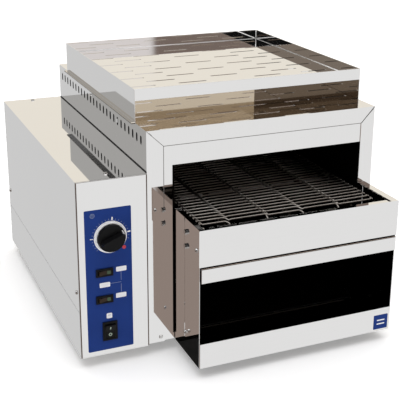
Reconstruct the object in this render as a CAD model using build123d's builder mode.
"""Countertop conveyor oven: a belt carries the food through a heated tunnel in the main casing.

Frame: millimetres, +Z up, the loading side faces -Y, the control box is on the -X side.
The pieces are laid out from the middle of the main casing's front edge. keep() then moves them,
so that the written frame's origin is on the resting surface, under the middle of the whole object.
"""

import os
from math import cos, radians, sin

from build123d import *

os.makedirs("parts", exist_ok=True)

# ---------------------------------------------------------------- driving dimensions
FOOT_H = 20.0  # rubber feet under the sheet metal
SHEET = 1.2  # stainless sheet
GAP = 0.3  # between pieces that move past one another

BODY_X = (-207.5, 205.0)
BODY_DEPTH = 525.0
BODY_Z = (FOOT_H, 387.0)
WINDOW_X = (-179.0, 180.0)  # between the uprights of the casing's folded front flange
WINDOW_TOP = 360.0
CASING_IN = (BODY_X[0] + SHEET, BODY_X[1] - SHEET)  # inner faces of the casing's side walls

OPENING_X = (-164.0, 180.0)
OPENING_Z = (32.0, 327.0)

TUNNEL_X = (-161.0, 192.0)  # outer faces of the tunnel walls and of the front side plates
TUNNEL_MID = (TUNNEL_X[0] + TUNNEL_X[1]) / 2
PLATE = 1.5
TUNNEL_IN = (TUNNEL_X[0] + PLATE, TUNNEL_X[1] - PLATE)
TUNNEL_BACK = 512.0
TUNNEL_TOP = 345.0

HOUSING_Y = -104.0  # front ends of the side plates
HOUSING_TOP = 254.5
COVER_Z = (194.0, HOUSING_TOP)
LIP_TOP = 62.4

BELT_PITCH = 12.7
BELT_TEETH = 12
BELT_R = BELT_PITCH / (2 * sin(radians(180 / BELT_TEETH)))
BELT_WIRE = 2.2
BELT_W = 318.0
STRAND = 0.8  # thickness of the strands that space the belt wires
BELT_SPANS = 38  # pitches between the two shafts
IDLER_Y = -51.0
DRIVE_Y = IDLER_Y + BELT_SPANS * BELT_PITCH
AXLE_Z = 221.2
AXLE_R = 6.0
BELT_TOP = AXLE_Z + BELT_R + BELT_WIRE / 2
BELT_WHEEL_R = BELT_R - BELT_WIRE / 2 - 0.2  # tooth tips run just inside the wires
SPROCKET_X = [TUNNEL_MID + step * 115.0 - 2 for step in (-1, 0, 1)]

CHAIN_PITCH = 9.525
CHAIN_TEETH = 16
CHAIN_R = CHAIN_PITCH / (2 * sin(radians(180 / CHAIN_TEETH)))
CHAIN_SPANS = 12
CHAIN_DISC = 2.6
ROLLER_R = 2.5
CHAIN_WHEEL_R = CHAIN_R - ROLLER_R - 0.2
CHAIN_X = -184.0
MOTOR_Z = AXLE_Z - CHAIN_SPANS * CHAIN_PITCH
RUNNING = 0.05  # radial clearance of a shaft in its bush

BOX_X = (-324.0, -208.7)
BOX_Y = (-5.0, BODY_DEPTH)
BOX_Z = (FOOT_H, 320.0)
BOX_SEAM = 101.0  # the cover's side wall ends here and the base's wall begins
BOX_SHELL_Y = (BOX_Y[0] + 2.0, BOX_Y[1] - SHEET)  # cover and base, behind the front panel

OVERLAY_X = (-312.0, -236.0)
OVERLAY_Z = (28.4, 272.0)
OVERLAY_Y = BOX_Y[0] - 0.4
KNOB = (-270.5, 224.0)
KNOB_REST = 22.0  # its pointer stands this many degrees above level, to the right
POWER_SWITCH = (-275.4, 62.0)
TOP_SWITCH = (-282.0, 165.4)
BOTTOM_SWITCH = (-283.0, 119.0)
ROCK = 8.0  # a rocker rests this many degrees to one side of level

TRAY_X = (-207.0, 207.0)
TRAY_Y = (55.0, 466.0)
TRAY_TOP = 441.0
TRAY_FLOOR = 422.5
TRAY_RIM = 19.5

UPPER_HEATERS_Y = [90.0, 190.0, 290.0, 390.0]
UPPER_HEATER_Z = 334.0
LOWER_HEATERS_Y = [120.0, 230.0, 340.0]
LOWER_HEATER_Z = 222.0
HEATER_R = 5.0

CRUMB_FRONT = -108.5  # the crumb tray's lip is the foremost face
SCREW_HEAD = 2.0
GLAND_REACH = 18.0
CENTRE_X = (BOX_X[0] - SCREW_HEAD + TRAY_X[1]) / 2
CENTRE_Y = (CRUMB_FRONT + BODY_DEPTH + GLAND_REACH) / 2


# ---------------------------------------------------------------- small tools
def block(x, y, z, mode=Mode.ADD):
    """Add or cut a box given by its three spans."""
    with Locations(((x[0] + x[1]) / 2, (y[0] + y[1]) / 2, (z[0] + z[1]) / 2)):
        Box(x[1] - x[0], y[1] - y[0], z[1] - z[0], mode=mode)


def rod(start, end, radius, mode=Mode.ADD):
    """Add or cut a round bar between two points."""
    line = Vector(*end) - Vector(*start)
    with BuildSketch(Plane(origin=start, z_dir=line)) as section:
        Circle(radius)
    extrude(section.sketch, amount=line.length, mode=mode)


def cross_rod(y, z, x, radius, mode=Mode.ADD):
    """Add or cut a round bar that runs along X."""
    rod((x[0], y, z), (x[1], y, z), radius, mode)


def toothed_discs(rim, teeth, seat, bore, y, z, starts, width):
    """Equal sprockets about one axis along X, with a round seat at the top between two teeth."""
    planes = [Plane(origin=(x, y, z), x_dir=(0, 1, 0), z_dir=(1, 0, 0)) for x in starts]
    with BuildSketch(*planes) as profile:
        Circle(rim)
        with PolarLocations(rim, teeth, start_angle=90):
            Circle(seat, mode=Mode.SUBTRACT)
        Circle(bore, mode=Mode.SUBTRACT)
    extrude(profile.sketch, amount=width)


def loop_points(pitch, radius, teeth, spans, start, along):
    """Pitch points of a closed chain round two equal wheels, on the plane of the loop.

    The first wheel's axis is at start, the second one is spans * pitch away in direction along.
    """
    side = Vector(-along.Y, along.X)
    step = 360 / teeth
    near = [start + along * (pitch * k) + side * radius for k in range(spans + 1)]
    far = [start + along * (pitch * k) - side * radius for k in range(spans, -1, -1)]
    end = start + along * (pitch * spans)
    turn = [radians(step * k) for k in range(1, teeth // 2)]
    far_arc = [end + side * (radius * cos(a)) + along * (radius * sin(a)) for a in turn]
    near_arc = [start - side * (radius * cos(a)) - along * (radius * sin(a)) for a in turn]
    return near + far_arc + far + near_arc


def keep(builder, name):
    """Move a finished piece to the written frame, label it and write it out."""
    builder.part.move(Location((-CENTRE_X, -CENTRE_Y, 0)))
    builder.part.label = name
    export_step(builder.part, f"parts/{name}.step")


# ---------------------------------------------------------------- screws, listed once
SCREW_R = 2.0
BOX_SIDE_SCREWS = [(10.5, 131.0), (515.0, 134.0)]  # y, z on the control box's left wall
BOX_TOP_SCREWS = [(-268.0, 514.0), (-268.0, 20.0)]  # x, y on its top
FRONT_SCREWS = [(-186.0, 29.5), (198.0, 29.5)]  # x, z on the casing's front
PLATE_SCREWS = [(-45.5, 56.0), (-92.0, 218.0)]  # y, z on each side plate
BEARING_BOLTS = [(IDLER_Y, AXLE_Z + 12), (IDLER_Y, AXLE_Z - 12)]


def screw(surface, shank=5.0):
    """A pan-head screw seated on a surface plane, its shank going in."""
    with BuildSketch(surface) as head:
        Circle(3.6)
    extrude(head.sketch, amount=SCREW_HEAD, taper=25)
    with BuildSketch(surface) as stem:
        Circle(SCREW_R)
    extrude(stem.sketch, amount=-shank)


# ================================================================ main casing
with BuildPart() as base_pan:
    pan_x = (CASING_IN[0] + 0.2, CASING_IN[1] - 0.2)
    pan_y = (3.2, BODY_DEPTH - 3.2)
    block(pan_x, pan_y, (FOOT_H, FOOT_H + 25))
    block((pan_x[0] + SHEET, pan_x[1] - SHEET), (pan_y[0] + SHEET, pan_y[1] - SHEET),
          (FOOT_H + SHEET, FOOT_H + 26), Mode.SUBTRACT)
    block((TUNNEL_X[0] - 3, TUNNEL_X[1]), (pan_y[0], pan_y[0] + SHEET),
          (OPENING_Z[0], FOOT_H + 26), Mode.SUBTRACT)
    with BuildSketch(Plane.XY.offset(FOOT_H)):
        with Locations((0, 270)):
            with GridLocations(36, 60, 8, 5):
                SlotOverall(24, 6)
    extrude(amount=SHEET, mode=Mode.SUBTRACT)
keep(base_pan, "base_pan")

with BuildPart() as body_casing:
    block(BODY_X, (0, BODY_DEPTH), BODY_Z)
    block(CASING_IN, (SHEET, BODY_DEPTH - SHEET), (BODY_Z[0], BODY_Z[1] - SHEET), Mode.SUBTRACT)
    block(WINDOW_X, (0, SHEET), (BODY_Z[0], WINDOW_TOP), Mode.SUBTRACT)
    block((-187, 187), (BODY_DEPTH - SHEET, BODY_DEPTH), (BODY_Z[0], BODY_Z[1] - 18), Mode.SUBTRACT)
    # mitred ends of the folded front flange
    for corner_x, turn in ((WINDOW_X[0], -45), (WINDOW_X[1], 45)):
        mitre = Plane(origin=(corner_x, 0, WINDOW_TOP), x_dir=(1, 0, 0), z_dir=(0, -1, 0))
        with BuildSketch(mitre) as cut:
            with Locations(Rotation(0, 0, -turn)):
                with Locations((0, 16)):
                    Rectangle(0.5, 34)
        extrude(cut.sketch, amount=-SHEET, mode=Mode.SUBTRACT)
    # one row of upright vent slots high on each side wall
    with BuildSketch(Plane.YZ.offset(BODY_X[0])):
        with Locations((263.5, 366.3)):
            with GridLocations(19.9, 1, 25, 1):
                SlotOverall(14.5, 7, rotation=90)
    extrude(amount=BODY_X[1] - BODY_X[0], mode=Mode.SUBTRACT)
    cross_rod(DRIVE_Y, MOTOR_Z, (BODY_X[0], CASING_IN[0]), 9, Mode.SUBTRACT)
    for x, z in FRONT_SCREWS:
        rod((x, 0, z), (x, SHEET, z), SCREW_R, Mode.SUBTRACT)
keep(body_casing, "body_casing")

with BuildPart() as front_fascia:
    fascia_y = (SHEET + 0.1, 2 * SHEET + 0.1)
    block((-202.5, 202.5), fascia_y, (FOOT_H + 1, BODY_Z[1] - 8))
    block(OPENING_X, fascia_y, OPENING_Z, Mode.SUBTRACT)
    block((TUNNEL_IN[0] + 0.5, OPENING_X[1]), (fascia_y[0], 14), (OPENING_Z[1], OPENING_Z[1] + SHEET))
    for x, z in FRONT_SCREWS:
        rod((x, 0, z), (x, 5, z), SCREW_R, Mode.SUBTRACT)
keep(front_fascia, "front_fascia")

with BuildPart() as back_panel:
    back_y = (BODY_DEPTH - 2 * SHEET - 0.1, BODY_DEPTH - SHEET - 0.1)
    block((-198, 198), back_y, (FOOT_H + 1, BODY_Z[1] - 8))
    with BuildSketch(Plane.XZ.offset(-back_y[1])):
        with Locations((0, 322)):
            with GridLocations(44, 14, 7, 5):
                SlotOverall(34, 5)
        with Locations((0, 70)):
            with GridLocations(44, 14, 7, 3):
                SlotOverall(34, 5)
    extrude(amount=SHEET, mode=Mode.SUBTRACT)
keep(back_panel, "back_panel")

# ================================================================ heated tunnel
with BuildPart() as left_tunnel_wall:
    block((TUNNEL_X[0], TUNNEL_IN[0]), (5, TUNNEL_BACK), (OPENING_Z[0], TUNNEL_TOP))
    cross_rod(DRIVE_Y, AXLE_Z, (TUNNEL_X[0], TUNNEL_IN[0]), 8.0, Mode.SUBTRACT)
    block((TUNNEL_IN[0], TUNNEL_IN[0] + 14), (10, 420), (166.4, 167.9))
keep(left_tunnel_wall, "left_tunnel_wall")

with BuildPart() as right_tunnel_wall:
    block((TUNNEL_IN[1], TUNNEL_X[1]), (5, TUNNEL_BACK), (OPENING_Z[0], TUNNEL_TOP))
    cross_rod(DRIVE_Y, AXLE_Z, (TUNNEL_IN[1], TUNNEL_X[1]), 8.0, Mode.SUBTRACT)
    block((TUNNEL_IN[1] - 14, TUNNEL_IN[1]), (10, 420), (166.4, 167.9))
keep(right_tunnel_wall, "right_tunnel_wall")

with BuildPart() as tunnel_roof:
    block(TUNNEL_X, (15, TUNNEL_BACK), (TUNNEL_TOP + 0.1, TUNNEL_TOP + 1.3))
    block(TUNNEL_IN, (TUNNEL_BACK - SHEET, TUNNEL_BACK), (300, TUNNEL_TOP + 1.3))
    with BuildSketch(Plane.XY.offset(TUNNEL_TOP)):
        with Locations((TUNNEL_MID, 240)):
            with GridLocations(40, 100, 7, 5):
                Circle(3)
    extrude(amount=5, mode=Mode.SUBTRACT)
keep(tunnel_roof, "tunnel_roof")


def heater(y, z, name):
    """A quartz tube heater lying across the tunnel."""
    with BuildPart() as tube:
        cross_rod(y, z, (TUNNEL_IN[0] + 9, TUNNEL_IN[1] - 9), HEATER_R)
    keep(tube, name)


for place, heater_y in enumerate(UPPER_HEATERS_Y, start=1):
    heater(heater_y, UPPER_HEATER_Z, f"upper_heater_{place}")
for place, heater_y in enumerate(LOWER_HEATERS_Y, start=1):
    heater(heater_y, LOWER_HEATER_Z, f"lower_heater_{place}")

with BuildPart() as heater_end_blocks:
    ends = [(TUNNEL_IN[0], TUNNEL_IN[0] + 16), (TUNNEL_IN[1] - 16, TUNNEL_IN[1])]
    places = [(y, UPPER_HEATER_Z) for y in UPPER_HEATERS_Y] + [(y, LOWER_HEATER_Z) for y in LOWER_HEATERS_Y]
    for y, z in places:
        for end in ends:
            block(end, (y - 8, y + 8), (z - 8, z + 8))
            seat = (end[0] + 9, end[1]) if end[0] < 0 else (end[0], end[1] - 9)
            cross_rod(y, z, seat, HEATER_R, Mode.SUBTRACT)
keep(heater_end_blocks, "heater_end_blocks")

with BuildPart() as heater_guard:
    guard_z = 321.5
    for x in [TUNNEL_MID + 40 * k for k in range(-4, 5)]:
        rod((x, 22, guard_z), (x, 450, guard_z), 1.5)
    for y in (40, 240, 430):
        cross_rod(y, guard_z, TUNNEL_IN, 1.5)
keep(heater_guard, "heater_guard")

with BuildPart() as lower_reflector:
    block(TUNNEL_IN, (30, 390), (205.0, 206.2))
    block(TUNNEL_IN, (30, 31.2), (205.0, 214))
    block(TUNNEL_IN, (388.8, 390), (205.0, 214))
keep(lower_reflector, "lower_reflector")

# ================================================================ belt and its drive
with BuildPart() as belt_support_rails:
    rail_top = BELT_TOP - BELT_WIRE - STRAND - 0.1
    for x in [TUNNEL_MID + step for step in (-143, -89, -30, 30, 89, 143)]:
        block((x - 1.5, x + 1.5), (-10, 400), (rail_top - 8, rail_top))
    for y in (60, 175, 285, 392):
        cross_rod(y, rail_top - 4, TUNNEL_IN, 3)
keep(belt_support_rails, "belt_support_rails")

with BuildPart() as conveyor_belt:
    half_w = BELT_W / 2
    idler_centre = Vector(IDLER_Y, AXLE_Z)
    pitch_points = loop_points(BELT_PITCH, BELT_R, BELT_TEETH, BELT_SPANS, idler_centre, Vector(1, 0))
    with BuildSketch(Plane.YZ.offset(TUNNEL_MID - half_w)):
        with Locations(*pitch_points):
            Circle(BELT_WIRE / 2)
    extrude(amount=BELT_W)
    # the strands that hold the wires at their pitch
    strand_x = [TUNNEL_MID + half_w * step for step in (-0.99, -0.55, -0.2, 0.2, 0.55, 0.99)]
    strand_r = BELT_R - BELT_WIRE / 2 + 0.2
    with BuildSketch(*[Plane.YZ.offset(x - 0.8) for x in strand_x]):
        with Locations(((IDLER_Y + DRIVE_Y) / 2, AXLE_Z)):
            SlotCenterToCenter(DRIVE_Y - IDLER_Y, 2 * strand_r)
            SlotCenterToCenter(DRIVE_Y - IDLER_Y, 2 * (strand_r - STRAND), mode=Mode.SUBTRACT)
    extrude(amount=1.6)
keep(conveyor_belt, "conveyor_belt")

with BuildPart() as idler_shaft:
    cross_rod(IDLER_Y, AXLE_Z, (TUNNEL_IN[0] + 0.3, TUNNEL_IN[1] - 0.3), AXLE_R)
keep(idler_shaft, "idler_shaft")

with BuildPart() as idler_sprockets:
    toothed_discs(BELT_WHEEL_R, BELT_TEETH, 3, AXLE_R, IDLER_Y, AXLE_Z, SPROCKET_X, 4)
keep(idler_sprockets, "idler_sprockets")

with BuildPart() as drive_shaft:
    cross_rod(DRIVE_Y, AXLE_Z, (CHAIN_X - 6, TUNNEL_IN[1] - 0.3), AXLE_R)
keep(drive_shaft, "drive_shaft")

with BuildPart() as drive_sprockets:
    toothed_discs(BELT_WHEEL_R, BELT_TEETH, 3, AXLE_R, DRIVE_Y, AXLE_Z, SPROCKET_X, 4)
keep(drive_sprockets, "drive_sprockets")

with BuildPart() as shaft_bearings:
    left, right = TUNNEL_IN
    for y, left_from in ((IDLER_Y, left), (DRIVE_Y, left - PLATE - 3)):
        for x in ((left_from, left_from + PLATE + 5), (right - 5, right)):
            plate_x = (x[0], x[0] + 3) if x[0] < 0 else (x[1] - 3, x[1])
            block(plate_x, (y - 9, y + 9), (AXLE_Z - 18, AXLE_Z + 18))
            cross_rod(y, AXLE_Z, x, 7.9)
            cross_rod(y, AXLE_Z, x, AXLE_R + RUNNING, Mode.SUBTRACT)
            for end in (-12, 12):
                cross_rod(y, AXLE_Z + end, x, SCREW_R, Mode.SUBTRACT)
keep(shaft_bearings, "shaft_bearings")

with BuildPart() as drive_chain:
    motor_centre = Vector(DRIVE_Y, MOTOR_Z)
    links = loop_points(CHAIN_PITCH, CHAIN_R, CHAIN_TEETH, CHAIN_SPANS, motor_centre, Vector(0, 1))
    with BuildSketch(Plane.YZ.offset(CHAIN_X - 3)):
        with Locations(*links):
            Circle(ROLLER_R)
    extrude(amount=6)
    for x in (CHAIN_X - 4, CHAIN_X + 3):
        with BuildSketch(Plane.YZ.offset(x)) as side_plates:
            with Locations((DRIVE_Y, (AXLE_Z + MOTOR_Z) / 2)):
                reach = CHAIN_SPANS * CHAIN_PITCH
                SlotCenterToCenter(reach, 2 * (CHAIN_R + 3.5), rotation=90)
                SlotCenterToCenter(reach, 2 * (CHAIN_R - 3.5), rotation=90, mode=Mode.SUBTRACT)
        extrude(side_plates.sketch, amount=1)
keep(drive_chain, "drive_chain")

with BuildPart() as driven_sprocket:
    toothed_discs(CHAIN_WHEEL_R, CHAIN_TEETH, ROLLER_R, AXLE_R, DRIVE_Y, AXLE_Z,
                  [CHAIN_X - CHAIN_DISC / 2], CHAIN_DISC)
keep(driven_sprocket, "driven_sprocket")

MOTOR_SHAFT_R = 4.0
with BuildPart() as motor_sprocket:
    toothed_discs(CHAIN_WHEEL_R, CHAIN_TEETH, ROLLER_R, 1, DRIVE_Y, MOTOR_Z,
                  [CHAIN_X - CHAIN_DISC / 2], CHAIN_DISC)
    cross_rod(DRIVE_Y, MOTOR_Z, (CHAIN_X - 6, CHAIN_X + 6), 9)
    cross_rod(DRIVE_Y, MOTOR_Z, (-226, CHAIN_X), MOTOR_SHAFT_R)
keep(motor_sprocket, "motor_sprocket")

with BuildPart() as gearmotor:
    block((-246, -214), (DRIVE_Y - 40, DRIVE_Y + 30), (MOTOR_Z - 35, MOTOR_Z + 35))
    fillet(gearmotor.edges().filter_by(Axis.X), 8)
    cross_rod(DRIVE_Y - 8, MOTOR_Z, (-310, -246), 30)
    for x in (-300, -290, -280, -270, -260):
        cross_rod(DRIVE_Y - 8, MOTOR_Z, (x, x + 3), 32)
    cross_rod(DRIVE_Y, MOTOR_Z, (-228, -214), MOTOR_SHAFT_R + RUNNING, Mode.SUBTRACT)
keep(gearmotor, "gearmotor")


# ================================================================ front housing
def side_plate(outer, inner, top_flange):
    """A front side plate with inward flanges; outer and inner are its faces along X."""
    inward = 1 if inner > outer else -1
    y = (HOUSING_Y, -1.0)
    block(sorted((outer, inner)), y, (FOOT_H, HOUSING_TOP))
    block(sorted((outer, inner + inward * 14)), y, (FOOT_H, FOOT_H + PLATE))
    block(sorted((outer, inner + inward * top_flange)), y, (HOUSING_TOP - PLATE, HOUSING_TOP))
    block(sorted((outer, inner + inward * 8)), (-1 - PLATE, -1), (FOOT_H, 160))
    span = (min(outer, inner), max(outer, inner))
    for hole_y, hole_z in PLATE_SCREWS + BEARING_BOLTS:
        cross_rod(hole_y, hole_z, span, SCREW_R, Mode.SUBTRACT)


with BuildPart() as left_side_plate:
    side_plate(TUNNEL_X[0], TUNNEL_IN[0], 7)
keep(left_side_plate, "left_side_plate")

with BuildPart() as right_side_plate:
    side_plate(TUNNEL_X[1], TUNNEL_IN[1], 11)
keep(right_side_plate, "right_side_plate")

with BuildPart() as front_cover:
    cover_y = (HOUSING_Y - SHEET, HOUSING_Y)
    block((TUNNEL_X[0] - 1, TUNNEL_X[1] + 1), cover_y, COVER_Z)
    fillet(front_cover.edges().filter_by(Axis.Y), 1.5)
    top_lip_x = (TUNNEL_IN[0] + 16, TUNNEL_IN[1] - 16)
    low_lip_x = (TUNNEL_IN[0] + 2, TUNNEL_IN[1] - 2)
    block(top_lip_x, (HOUSING_Y, HOUSING_Y + 8), (HOUSING_TOP - SHEET, HOUSING_TOP))
    block(low_lip_x, (HOUSING_Y, HOUSING_Y + 6), (COVER_Z[0], COVER_Z[0] + SHEET))
    for x in ((TUNNEL_IN[0] + 0.2, TUNNEL_IN[0] + 1.4), (TUNNEL_IN[1] - 1.4, TUNNEL_IN[1] - 0.2)):
        block(x, (HOUSING_Y, -85), (COVER_Z[0] + 2, HOUSING_TOP - PLATE - 0.3))
        cross_rod(*PLATE_SCREWS[1], x, SCREW_R, Mode.SUBTRACT)
keep(front_cover, "front_cover")

with BuildPart() as crumb_tray:
    tray_x = (TUNNEL_IN[0] + 2.5, OPENING_X[1] - 1.5)
    block(tray_x, (CRUMB_FRONT, 400), (168.2, 190))
    block((tray_x[0] + SHEET, tray_x[1] - SHEET), (CRUMB_FRONT + SHEET, 400 - SHEET),
          (168.2 + SHEET, 190), Mode.SUBTRACT)
    lip_x = (TUNNEL_X[0] + 2, TUNNEL_X[1] - 2)
    block(lip_x, (CRUMB_FRONT, CRUMB_FRONT + SHEET), (168.2, 192.4))
    block(lip_x, (CRUMB_FRONT, -105.5), (192.4 - SHEET, 192.4))
keep(crumb_tray, "crumb_tray")

with BuildPart() as return_chute:
    chute_x = (TUNNEL_IN[0] + 1, OPENING_X[1] - 0.6)
    with BuildSketch(Plane.YZ.offset(chute_x[0])) as chute_side:
        with BuildLine() as path:
            ramp = Line((-0.5, 34.5), (440, 135))
            bend = TangentArc(ramp @ 1, (508, 205), tangent=ramp % 1)
            Line(bend @ 1, (509, 262))
            offset(amount=SHEET, side=Side.LEFT)
        make_face()
    extrude(amount=chute_x[1] - chute_x[0])
keep(return_chute, "return_chute")

with BuildPart() as toast_tray:
    tray_in = (TUNNEL_IN[0] + 2, TUNNEL_IN[1] - 2)
    floor_z = FOOT_H + PLATE + GAP
    block(tray_in, (HOUSING_Y, -4), (floor_z, 32))
    block((tray_in[0] + SHEET, tray_in[1] - SHEET), (HOUSING_Y, -4 - SHEET),
          (floor_z + SHEET, 32), Mode.SUBTRACT)
    lip_y = (HOUSING_Y - GAP - SHEET, HOUSING_Y - GAP)
    block((TUNNEL_X[0] + 1, TUNNEL_X[1] - 1), lip_y, (FOOT_H, LIP_TOP))
    block(tray_in, (lip_y[0], HOUSING_Y), (floor_z, floor_z + SHEET))
    block(tray_in, (lip_y[0], HOUSING_Y + 5), (LIP_TOP - SHEET, LIP_TOP))
keep(toast_tray, "toast_tray")

# ================================================================ control box
FAN = (-268.0, 220.0)
GLAND = (-296.0, 55.0)

with BuildPart() as control_base:
    side = BOX_X[1] - SHEET
    block(BOX_X, BOX_SHELL_Y, (FOOT_H, FOOT_H + SHEET))
    block((BOX_X[0], BOX_X[0] + SHEET), BOX_SHELL_Y, (FOOT_H, BOX_SEAM - 0.6))
    block((side, BOX_X[1]), BOX_SHELL_Y, (FOOT_H, BOX_Z[1] - SHEET - 0.2))
    cross_rod(DRIVE_Y, MOTOR_Z, (side, BOX_X[1]), 6, Mode.SUBTRACT)
    with BuildSketch(Plane.XY.offset(FOOT_H)):
        with Locations((-268, 260)):
            with GridLocations(1, 18, 1, 16):
                SlotOverall(60, 6)
    extrude(amount=SHEET, mode=Mode.SUBTRACT)
keep(control_base, "control_base")

with BuildPart() as control_cover:
    block((BOX_X[0], BOX_X[0] + SHEET), BOX_SHELL_Y, (BOX_SEAM, BOX_Z[1]))
    block(BOX_X, BOX_SHELL_Y, (BOX_Z[1] - SHEET, BOX_Z[1]))
    for y, z in BOX_SIDE_SCREWS:
        cross_rod(y, z, (BOX_X[0], BOX_X[0] + SHEET), SCREW_R, Mode.SUBTRACT)
    for x, y in BOX_TOP_SCREWS:
        rod((x, y, BOX_Z[1] - SHEET), (x, y, BOX_Z[1]), SCREW_R, Mode.SUBTRACT)
keep(control_cover, "control_cover")

with BuildPart() as control_back:
    wall_y = (BOX_Y[1] - SHEET + 0.1, BOX_Y[1] + 0.1)
    block(BOX_X, wall_y, BOX_Z)
    rod((FAN[0], wall_y[0], FAN[1]), (FAN[0], wall_y[1], FAN[1]), 37, Mode.SUBTRACT)
    rod((GLAND[0], wall_y[0], GLAND[1]), (GLAND[0], wall_y[1], GLAND[1]), 8, Mode.SUBTRACT)
keep(control_back, "control_back")

POWER_HOLE = (20.4, 28.4)  # panel cut-out and body of the upright power switch
SMALL_HOLE = (24.4, 9.4)  # the same for the two small level switches
POWER_BEZEL = (24.4, 32.4)
SMALL_BEZEL = (28.0, 13.0)
SWITCHES = [(POWER_SWITCH, POWER_HOLE), (TOP_SWITCH, SMALL_HOLE), (BOTTOM_SWITCH, SMALL_HOLE)]


def switch_holes(y):
    """Cut the openings for the switches and the knob's bush through a panel that spans y."""
    for (x, z), (wide, tall) in SWITCHES:
        block((x - wide / 2, x + wide / 2), y, (z - tall / 2, z + tall / 2), Mode.SUBTRACT)
    rod((KNOB[0], y[0], KNOB[1]), (KNOB[0], y[1], KNOB[1]), 5, Mode.SUBTRACT)


with BuildPart() as control_front:
    front_y = (BOX_Y[0], BOX_Y[0] + SHEET)
    block(BOX_X, front_y, BOX_Z)
    switch_holes(front_y)
keep(control_front, "control_front")

with BuildPart() as control_overlay:
    block(OVERLAY_X, (OVERLAY_Y, BOX_Y[0]), OVERLAY_Z)
    fillet(control_overlay.edges().filter_by(Axis.Y), 2)
    switch_holes((OVERLAY_Y, BOX_Y[0]))
keep(control_overlay, "control_overlay")

# the speed knob, its bright skirt and the potentiometer behind the panel
KNOB_FOOT = OVERLAY_Y - 0.5
with BuildPart() as speed_knob:
    knob_plane = Plane(origin=(KNOB[0], KNOB_FOOT - 3, KNOB[1]), x_dir=(1, 0, 0), z_dir=(0, -1, 0))
    with BuildSketch(knob_plane):
        Circle(22.9)
    extrude(amount=6, taper=4)
    fillet(speed_knob.faces().sort_by(Axis.Y)[0].edges(), 1.5)
    # raised grip bar across the knob's face, leaning to the upper right
    with BuildSketch(knob_plane.offset(5)):
        SlotOverall(39, 9, rotation=KNOB_REST)
    extrude(amount=12, taper=5)
    rod((KNOB[0], KNOB_FOOT - 3, KNOB[1]), (KNOB[0], BOX_Y[0] + 16, KNOB[1]), 3)
keep(speed_knob, "speed_knob")

with BuildPart() as knob_skirt:
    with BuildSketch(Plane.XZ.offset(-KNOB_FOOT)):
        with Locations(KNOB):
            Circle(25.3)
            Circle(3.2, mode=Mode.SUBTRACT)
    extrude(amount=2.8, taper=20)
keep(knob_skirt, "knob_skirt")

with BuildPart() as speed_potentiometer:
    rod((KNOB[0], BOX_Y[0] + SHEET, KNOB[1]), (KNOB[0], BOX_Y[0] + 18, KNOB[1]), 12)
    rod((KNOB[0], OVERLAY_Y, KNOB[1]), (KNOB[0], BOX_Y[0] + SHEET, KNOB[1]), 4.8)
    rod((KNOB[0], OVERLAY_Y - 1, KNOB[1]), (KNOB[0], BOX_Y[0] + 17, KNOB[1]), 3 + RUNNING, Mode.SUBTRACT)
    block((KNOB[0] - 9, KNOB[0] + 9), (BOX_Y[0] + 4, BOX_Y[0] + 16), (KNOB[1] - 18, KNOB[1] - 11))
keep(speed_potentiometer, "speed_potentiometer")

# rocker switches: a bezel on the panel, a body behind it and a two-faced rocker on a pivot pin
BEZEL_PROUD = 2.6
PIVOT_Y = OVERLAY_Y + 1.0
WALL = 1.2


def switch_body(centre, bezel, hole, depth):
    """Bezel and hollow body of a rocker switch."""
    x, z = centre
    wide, tall = hole
    face_y = OVERLAY_Y - BEZEL_PROUD
    block((x - bezel[0] / 2, x + bezel[0] / 2), (face_y, OVERLAY_Y), (z - bezel[1] / 2, z + bezel[1] / 2))
    block((x - wide / 2 + 0.2, x + wide / 2 - 0.2), (OVERLAY_Y, OVERLAY_Y + depth),
          (z - tall / 2 + 0.2, z + tall / 2 - 0.2))
    block((x - wide / 2 + WALL, x + wide / 2 - WALL), (face_y, OVERLAY_Y + depth - 4),
          (z - tall / 2 + WALL, z + tall / 2 - WALL), Mode.SUBTRACT)


def rocker(centre, hole, upright):
    """A rocker tilted to its rest side; upright says that it rocks up and down, not sideways."""
    x, z = centre
    length = (hole[1] if upright else hole[0]) - 2 * WALL - 2.4
    width = (hole[0] if upright else hole[1]) - 2 * WALL - 0.6
    turn = radians(ROCK)
    if upright:
        plane = Plane(origin=(x - width / 2, PIVOT_Y, z), x_dir=(0, -sin(turn), cos(turn)), z_dir=(1, 0, 0))
    else:
        plane = Plane(origin=(x, PIVOT_Y, z - width / 2), x_dir=(cos(turn), sin(turn), 0), z_dir=(0, 0, 1))
    # in the plane, the first axis runs along the tilted rocker and the second one points out or in
    out = 1 if upright else -1
    with BuildSketch(plane) as side:
        with BuildLine():
            FilletPolyline((-length / 2, out * 5.2), (0, out * 3.4), (length / 2, out * 5.2),
                           (length / 2, out * 0.5), (length * 0.18, -out * 5.5),
                           (-length * 0.18, -out * 5.5), (-length / 2, out * 0.5),
                           close=True, radius=0.4)
        make_face()
    extrude(side.sketch, amount=width)


with BuildPart() as power_switch_body:
    switch_body(POWER_SWITCH, POWER_BEZEL, POWER_HOLE, 24)
    cross_rod(PIVOT_Y, POWER_SWITCH[1], (POWER_SWITCH[0] - 10, POWER_SWITCH[0] + 10), 1.25, Mode.SUBTRACT)
keep(power_switch_body, "power_switch_body")

with BuildPart() as power_rocker:
    rocker(POWER_SWITCH, POWER_HOLE, upright=True)
    cross_rod(PIVOT_Y, POWER_SWITCH[1], (POWER_SWITCH[0] - 9.8, POWER_SWITCH[0] + 9.8), 1.2)
keep(power_rocker, "power_rocker")

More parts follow.
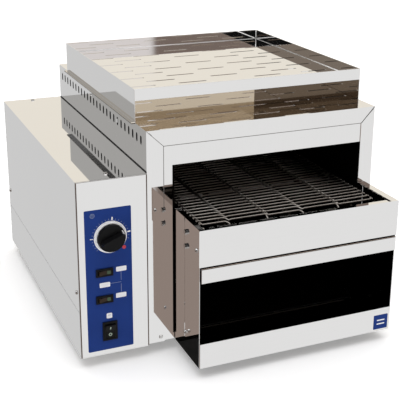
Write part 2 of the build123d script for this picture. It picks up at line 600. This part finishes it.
for name, (switch_x, switch_z) in (("top_heat", TOP_SWITCH), ("bottom_heat", BOTTOM_SWITCH)):
    with BuildPart() as small_switch:
        switch_body((switch_x, switch_z), SMALL_BEZEL, SMALL_HOLE, 20)
        rod((switch_x, PIVOT_Y, switch_z - 4.5), (switch_x, PIVOT_Y, switch_z + 4.5), 1.05, Mode.SUBTRACT)
    keep(small_switch, f"{name}_switch_body")
    with BuildPart() as small_rocker:
        rocker((switch_x, switch_z), SMALL_HOLE, upright=False)
        rod((switch_x, PIVOT_Y, switch_z - 4.2), (switch_x, PIVOT_Y, switch_z + 4.2), 1.0)
    keep(small_rocker, f"{name}_rocker")

# cooling fan, wiring pieces and the gland where the supply cord goes in
with BuildPart() as fan_frame:
    fan_y = (BOX_Y[1] - SHEET - 25, BOX_Y[1] - SHEET)
    block((FAN[0] - 40, FAN[0] + 40), fan_y, (FAN[1] - 40, FAN[1] + 40))
    fillet(fan_frame.edges().filter_by(Axis.Y), 5)
    rod((FAN[0], fan_y[0] + 3, FAN[1]), (FAN[0], fan_y[1], FAN[1]), 37, Mode.SUBTRACT)
    rod((FAN[0], fan_y[0], FAN[1]), (FAN[0], fan_y[1], FAN[1]), 34, Mode.SUBTRACT)
    for turn in (0, 60, 120):
        with BuildSketch(Plane.XZ.offset(-fan_y[0] - 3)) as strut:
            with Locations(FAN):
                Rectangle(72, 4, rotation=turn)
        extrude(strut.sketch, amount=3)
    rod((FAN[0], fan_y[0], FAN[1]), (FAN[0], fan_y[0] + 3, FAN[1]), 14)
    rod((FAN[0], fan_y[0], FAN[1]), (FAN[0], fan_y[0] + 12, FAN[1]), 2)
keep(fan_frame, "fan_frame")

with BuildPart() as fan_rotor:
    hub = (fan_y[0] + 4, fan_y[1] - 3)
    rod((FAN[0], hub[0], FAN[1]), (FAN[0], hub[1], FAN[1]), 14)
    rod((FAN[0], hub[0], FAN[1]), (FAN[0], hub[0] + 9, FAN[1]), 2 + RUNNING, Mode.SUBTRACT)
    for blade in range(8):
        a = radians(45 * blade)
        blade_plane = Plane(origin=(FAN[0] + 12 * cos(a), (hub[0] + hub[1]) / 2, FAN[1] + 12 * sin(a)),
                            x_dir=(-sin(a) * 0.85, 0.53, cos(a) * 0.85), z_dir=(cos(a), 0, sin(a)))
        with BuildSketch(blade_plane) as blade_end:
            Rectangle(20, 1.6)
        extrude(blade_end.sketch, amount=20)
keep(fan_rotor, "fan_rotor")

with BuildPart() as fan_guard:
    guard_y = BOX_Y[1] + 0.1  # outer face of the control box's back
    with BuildSketch(Plane.XZ.offset(-guard_y - 3)):
        with Locations(FAN):
            for ring in (36, 28, 20, 12):
                Circle(ring + 1)
                Circle(ring - 1, mode=Mode.SUBTRACT)
            Rectangle(72, 2.4)
            Rectangle(2.4, 72)
            Circle(8)
    extrude(amount=2)
    for x, z in ((-36, 0), (36, 0), (0, -36), (0, 36)):
        rod((FAN[0] + x, guard_y, FAN[1] + z), (FAN[0] + x, guard_y + 3, FAN[1] + z), 3)
keep(fan_guard, "fan_guard")

with BuildPart() as cable_gland:
    x, z = GLAND
    with BuildSketch(Plane.XZ.offset(-guard_y)):
        with Locations(GLAND):
            RegularPolygon(12, 6)
    extrude(amount=-6)
    rod((x, guard_y + 6, z), (x, BODY_DEPTH + GLAND_REACH, z), 9)
    rod((x, guard_y - 12, z), (x, guard_y, z), 7.9)
    rod((x, guard_y - 12, z), (x, BODY_DEPTH + GLAND_REACH, z), 4.5, Mode.SUBTRACT)
keep(cable_gland, "cable_gland")

with BuildPart() as terminal_block:
    block((-318, -278), (380, 462), (FOOT_H + 12, FOOT_H + 34))
    for y in (392, 410, 428, 446):
        block((-314, -282), (y - 6, y + 6), (FOOT_H + 28, FOOT_H + 34), Mode.SUBTRACT)
    block((-300, -296), (380, 462), (FOOT_H + SHEET, FOOT_H + 12))
keep(terminal_block, "terminal_block")

with BuildPart() as control_board:
    block((-300, -230), (120, 260), (FOOT_H + 14, FOOT_H + 15.6))
    for x in (-294, -236):
        for y in (126, 254):
            rod((x, y, FOOT_H + SHEET), (x, y, FOOT_H + 14), 3)
    block((-280, -250), (150, 190), (FOOT_H + 15.6, FOOT_H + 40))
    rod((-265, 225, FOOT_H + 15.6), (-265, 225, FOOT_H + 45), 9)
keep(control_board, "control_board")

# ================================================================ warming tray on top
with BuildPart() as tray_frame:
    block(TRAY_X, TRAY_Y, (BODY_Z[1], TRAY_TOP))
    block((TRAY_X[0] + SHEET, TRAY_X[1] - SHEET), (TRAY_Y[0] + SHEET, TRAY_Y[1] - SHEET),
          (BODY_Z[1], TRAY_TOP), Mode.SUBTRACT)
    # below the rim, only the two sides go down to the casing
    block((TRAY_X[0] + SHEET, TRAY_X[1] - SHEET), TRAY_Y, (BODY_Z[1], TRAY_TOP - TRAY_RIM), Mode.SUBTRACT)
keep(tray_frame, "tray_frame")

with BuildPart() as tray_floor:
    floor_x = (TRAY_X[0] + SHEET, TRAY_X[1] - SHEET)
    floor_y = (TRAY_Y[0] + SHEET, TRAY_Y[1] - SHEET)
    block(floor_x, floor_y, (TRAY_FLOOR - SHEET, TRAY_FLOOR))
    # rows of slots across the floor, four and three in turn
    with BuildSketch(Plane.XY.offset(TRAY_FLOOR - SHEET)):
        for row in range(-6, 7):
            row_y = (TRAY_Y[0] + TRAY_Y[1]) / 2 + row * 29.5
            for x in ((-119, 0, 119) if row % 2 else (-165, -71.5, 71.5, 165)):
                with Locations((x, row_y)):
                    SlotOverall(52, 4.5)
    extrude(amount=SHEET, mode=Mode.SUBTRACT)
keep(tray_floor, "tray_floor")

# ================================================================ feet, screws and badge
with BuildPart() as rubber_feet:
    feet = [(x, y) for x in (-150, 150) for y in (55, 470)] + [(-268, y) for y in (55, 470)]
    for x, y in feet:
        with BuildSketch(Plane.XY.offset(FOOT_H)) as pad:
            with Locations((x, y)):
                Circle(16)
        extrude(pad.sketch, amount=-FOOT_H, taper=8)
keep(rubber_feet, "rubber_feet")

with BuildPart() as panel_screws:
    for y, z in BOX_SIDE_SCREWS:
        screw(Plane(origin=(BOX_X[0], y, z), x_dir=(0, -1, 0), z_dir=(-1, 0, 0)))
    for x, y in BOX_TOP_SCREWS:
        screw(Plane(origin=(x, y, BOX_Z[1])))
    for x, z in FRONT_SCREWS:
        screw(Plane(origin=(x, 0, z), x_dir=(1, 0, 0), z_dir=(0, -1, 0)), shank=2.9)
    for outer, face in ((TUNNEL_X[0], -1), (TUNNEL_X[1], 1)):
        for y, z in PLATE_SCREWS:
            screw(Plane(origin=(outer, y, z), x_dir=(0, 1, 0), z_dir=(face, 0, 0)))
keep(panel_screws, "panel_screws")

with BuildPart() as bearing_bolts:
    for outer, face in ((TUNNEL_X[0], -1), (TUNNEL_X[1], 1)):
        for y, z in BEARING_BOLTS:
            seat = Plane(origin=(outer, y, z), x_dir=(0, 1, 0), z_dir=(face, 0, 0))
            with BuildSketch(seat) as head:
                RegularPolygon(4.2, 6)
            extrude(head.sketch, amount=3.5)
            rod((outer, y, z), (outer - face * 7, y, z), SCREW_R)
keep(bearing_bolts, "bearing_bolts")

with BuildPart() as badge:
    block((160, 187), (lip_y[0] - 0.5, lip_y[0]), (24, 50))
    fillet(badge.edges().filter_by(Axis.Y), 1)
keep(badge, "badge")
